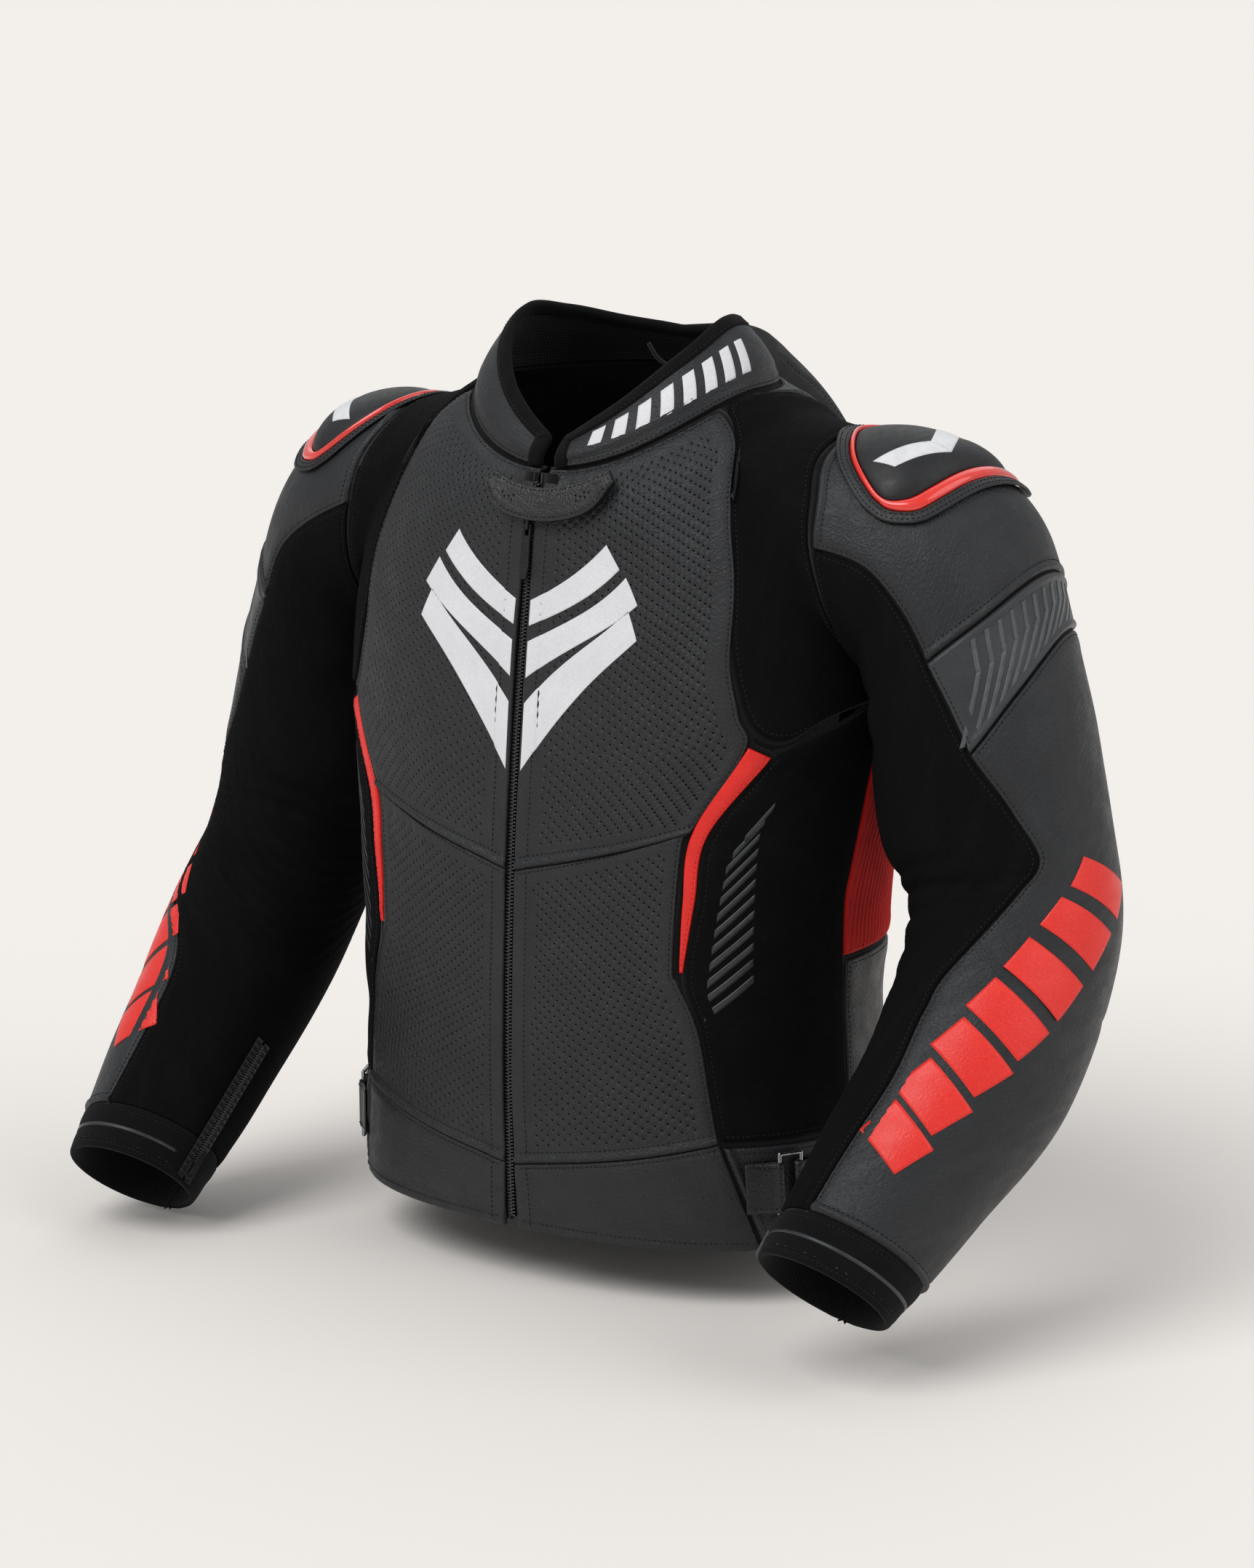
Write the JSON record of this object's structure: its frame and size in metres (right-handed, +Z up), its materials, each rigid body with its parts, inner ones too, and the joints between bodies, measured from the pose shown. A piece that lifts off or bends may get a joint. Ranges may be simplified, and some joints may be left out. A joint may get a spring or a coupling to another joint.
{
  "type": "leather riding jacket",
  "caption": "Black leather riding jacket with red accents, stretch panels, shoulder cups, a front zip, cuff zips, waist adjusters and a speed hump.",
  "frame": {"origin": "centre of the hem opening, level with the back of the hem", "axes": "+X to the wearer's left, +Y to the wearer's back, +Z up; the front zip faces -Y"},
  "size_m": [0.747, 0.3923, 0.6464],
  "materials": {
    "leather": "matt full-grain cowhide, near black",
    "stretch": "fine black stretch weave",
    "red_stretch": "ribbed accordion stretch, red",
    "red_leather": "printed bright red",
    "printed_leather": "printed in grey stripes",
    "neoprene": "soft neoprene with knitted face",
    "hump_leather": "leather over a foam core",
    "cup": "matt moulded cup",
    "cup_rim": "glossy red",
    "zip_tape": "woven tape with moulded teeth",
    "zip_metal": "black coated",
    "buckle_metal": "black nickel",
    "webbing": "woven webbing",
    "armour": "soft foam armour"
  },
  "bodies": {
    "torso": {"chest_panel_left": "leather", "chest_panel_right": "leather", "belly_panel_left": "leather", "belly_panel_right": "leather", "front_hem_left": "leather", "front_hem_right": "leather", "side_accent_left": "red_leather", "side_accent_right": "red_leather", "side_stretch_left": "stretch", "side_stretch_right": "stretch", "lumbar_stretch_left": "red_stretch", "lumbar_stretch_right": "red_stretch", "back_lower": "leather", "back_center": "leather", "back_upper": "leather", "waistband": "leather", "aero_hump": "hump_leather", "shoulder_band_left": "stretch", "shoulder_band_right": "stretch", "collar": "leather", "collar_binding": "neoprene", "hanger_loop": "webbing", "front_zip": "zip_tape", "sleeve_cap_left": "leather", "sleeve_cap_right": "leather", "upper_arm_stripes_left": "printed_leather", "upper_arm_stripes_right": "printed_leather", "upper_arm_outer_left": "leather", "upper_arm_outer_right": "leather", "upper_arm_inner_left": "stretch", "upper_arm_inner_right": "stretch", "elbow_section_left": "leather", "elbow_section_right": "leather", "shoulder_cup_left": "cup", "shoulder_cup_right": "cup", "shoulder_cup_rims": "cup_rim", "shoulder_protectors": "armour", "back_protector": "armour", "waist_anchors": "leather", "waist_straps": "leather"},
    "forearm_left": {"forearm_outer_left": "leather", "forearm_inner_left": "stretch", "cuff_left": "neoprene", "cuff_zip_left": "zip_tape", "elbow_protector_left": "armour"},
    "forearm_right": {"forearm_outer_right": "leather", "forearm_inner_right": "stretch", "cuff_right": "neoprene", "cuff_zip_right": "zip_tape", "elbow_protector_right": "armour"},
    "slider": {"zip_slider": "zip_metal"},
    "puller": {"zip_pull": "zip_metal"},
    "tab": {"throat_tab": "leather"},
    "buckle_left": {"waist_buckle_left": "buckle_metal"},
    "buckle_right": {"waist_buckle_right": "buckle_metal"},
    "strap_end_left": {"waist_strap_end_left": "leather"},
    "strap_end_right": {"waist_strap_end_right": "leather"},
    "cuff_slider_left": {"cuff_zip_slider_left": "zip_metal"},
    "cuff_slider_right": {"cuff_zip_slider_right": "zip_metal"}
  },
  "joints": [
    {"name": "elbow_bend_left", "type": "hinge", "parent": "torso", "child": "forearm_left", "pos_m": [0.31315, -0.01595, 0.20608], "axis": [-0.7713, 0.515, -0.374], "range_deg": [-15, 22], "deforming": ["elbow_section_left"]},
    {"name": "elbow_bend_right", "type": "hinge", "parent": "torso", "child": "forearm_right", "pos_m": [-0.29991, -0.01595, 0.19113], "axis": [-0.8938, -0.3341, 0.2991], "range_deg": [-15, 22], "deforming": ["elbow_section_right"]},
    {"name": "front_zip_slide", "type": "hinge", "parent": "torso", "child": "slider", "pos_m": [0, 2.06, 0.13], "axis": [1, 0, 0], "range_deg": [0, 12.14]},
    {"name": "pull_swing", "type": "hinge", "parent": "slider", "child": "puller", "pos_m": [0, -0.11442, 0.4846], "axis": [-1, 0, 0], "range_deg": [0, 80]},
    {"name": "tab_peel", "type": "hinge", "parent": "torso", "child": "tab", "pos_m": [0.05982, -0.09944, 0.51522], "axis": [-0.514, 0.4335, 0.7402], "range_deg": [0, 80]},
    {"name": "buckle_swing_left", "type": "hinge", "parent": "torso", "child": "buckle_left", "pos_m": [0.1776, -0.07581, 0.0516], "axis": [0.0046, -0.0028, -1], "range_deg": [0, 40]},
    {"name": "strap_end_peel_left", "type": "hinge", "parent": "buckle_left", "child": "strap_end_left", "pos_m": [0.18501, -0.06163, 0.05159], "axis": [0.0046, -0.0028, -1], "range_deg": [0, 110]},
    {"name": "buckle_swing_right", "type": "hinge", "parent": "torso", "child": "buckle_right", "pos_m": [-0.1776, -0.07581, 0.0516], "axis": [0.0046, 0.0028, 1], "range_deg": [0, 40]},
    {"name": "strap_end_peel_right", "type": "hinge", "parent": "buckle_right", "child": "strap_end_right", "pos_m": [-0.18501, -0.06163, 0.05159], "axis": [0.0046, 0.0028, 1], "range_deg": [0, 110]},
    {"name": "cuff_zip_slide_left", "type": "slide", "parent": "forearm_left", "child": "cuff_slider_left", "axis": [0.0313, 0.7418, 0.6699], "range_m": [0, 0.0851]},
    {"name": "cuff_zip_slide_right", "type": "slide", "parent": "forearm_right", "child": "cuff_slider_right", "axis": [0.0352, 0.7184, 0.6947], "range_m": [0, 0.0888]}
  ]
}
